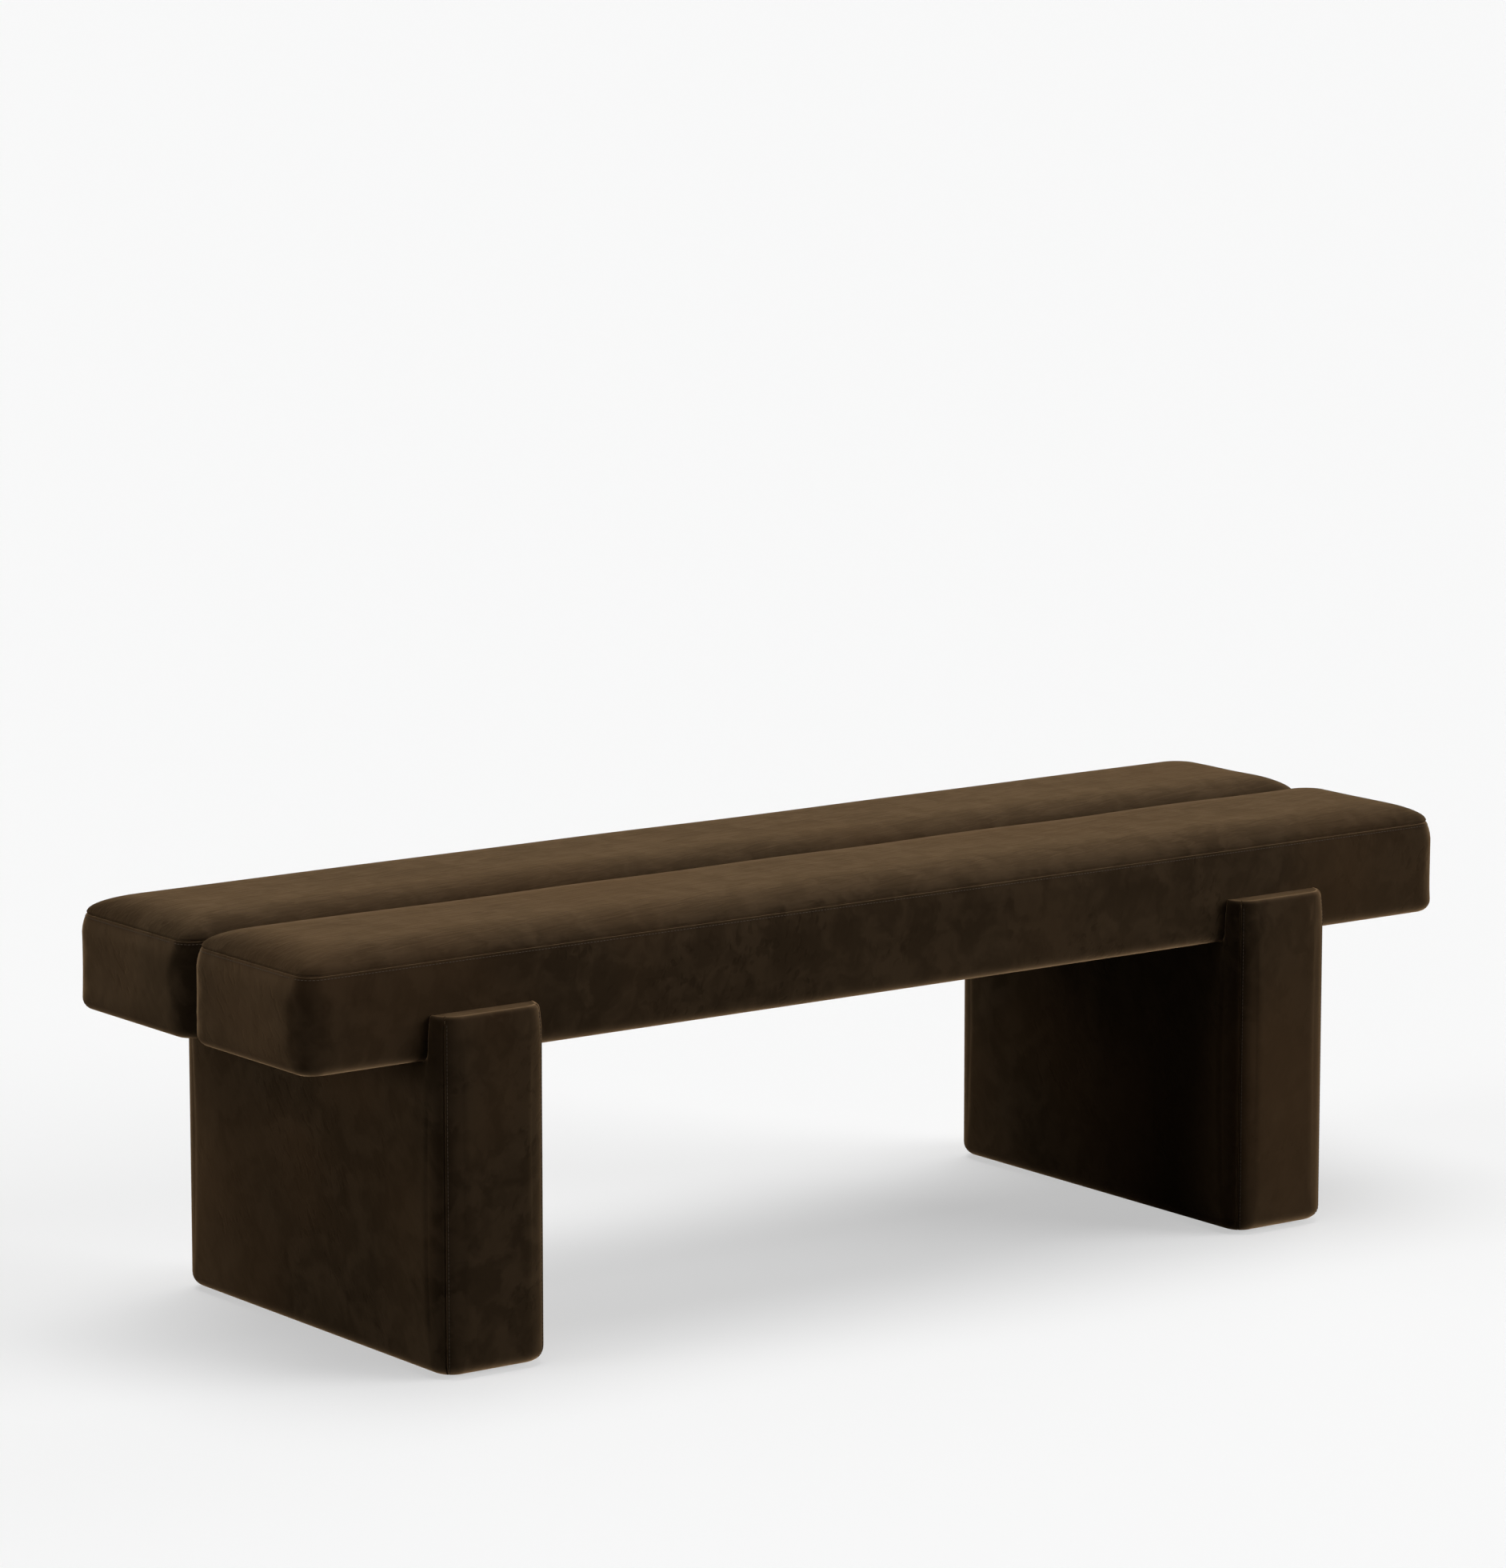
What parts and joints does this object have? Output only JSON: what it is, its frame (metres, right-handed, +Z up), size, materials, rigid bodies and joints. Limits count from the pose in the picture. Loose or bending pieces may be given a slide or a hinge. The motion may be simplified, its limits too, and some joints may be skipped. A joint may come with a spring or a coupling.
{
  "type": "upholstered bench",
  "caption": "Backless bench with long crowned velvet seat beams held side by side in the notches of slab legs that rise beside the seat as low tabs.",
  "frame": {"origin": "on the floor, under the middle of the seat", "axes": "+X along the seat, +Y from the front to the back, +Z up"},
  "size_m": [1.5, 0.5006, 0.45],
  "materials": {
    "velvet": "short-pile velvet, dark brown",
    "foam": "open-cell foam, cream",
    "plywood": "unfinished birch plywood",
    "black_cloth": "non-woven cloth, black",
    "zinc_steel": "zinc plated",
    "glide_plastic": "matt grey, moulded round a nail"
  },
  "bodies": {
    "root": {"front_seat_top_cover": "velvet", "front_seat_boxing": "velvet", "front_seat_crown_pad": "foam", "front_seat_edge_pads": "foam", "front_seat_deck_board": "plywood", "front_seat_long_rails": "plywood", "front_seat_end_rails": "plywood", "front_seat_ribs": "plywood", "front_seat_base_board": "plywood", "front_seat_dust_cloth": "black_cloth", "front_seat_tee_nuts": "zinc_steel", "rear_seat_top_cover": "velvet", "rear_seat_boxing": "velvet", "rear_seat_crown_pad": "foam", "rear_seat_edge_pads": "foam", "rear_seat_deck_board": "plywood", "rear_seat_long_rails": "plywood", "rear_seat_end_rails": "plywood", "rear_seat_ribs": "plywood", "rear_seat_base_board": "plywood", "rear_seat_dust_cloth": "black_cloth", "rear_seat_tee_nuts": "zinc_steel", "left_leg_outer_cover": "velvet", "left_leg_inner_cover": "velvet", "left_leg_front_cover": "velvet", "left_leg_rear_cover": "velvet", "left_leg_top_strip": "velvet", "left_leg_side_pads": "foam", "left_leg_end_pads": "foam", "left_leg_end_boards": "plywood", "left_leg_side_boards": "plywood", "left_leg_cradle_board": "plywood", "left_leg_foot_board": "plywood", "left_leg_stiffeners": "plywood", "left_leg_base_cloth": "black_cloth", "left_leg_bolts": "zinc_steel", "left_leg_washers": "zinc_steel", "left_leg_glides": "glide_plastic", "right_leg_outer_cover": "velvet", "right_leg_inner_cover": "velvet", "right_leg_front_cover": "velvet", "right_leg_rear_cover": "velvet", "right_leg_top_strip": "velvet", "right_leg_side_pads": "foam", "right_leg_end_pads": "foam", "right_leg_end_boards": "plywood", "right_leg_side_boards": "plywood", "right_leg_cradle_board": "plywood", "right_leg_foot_board": "plywood", "right_leg_stiffeners": "plywood", "right_leg_base_cloth": "black_cloth", "right_leg_bolts": "zinc_steel", "right_leg_washers": "zinc_steel", "right_leg_glides": "glide_plastic"}
  },
  "joints": []
}
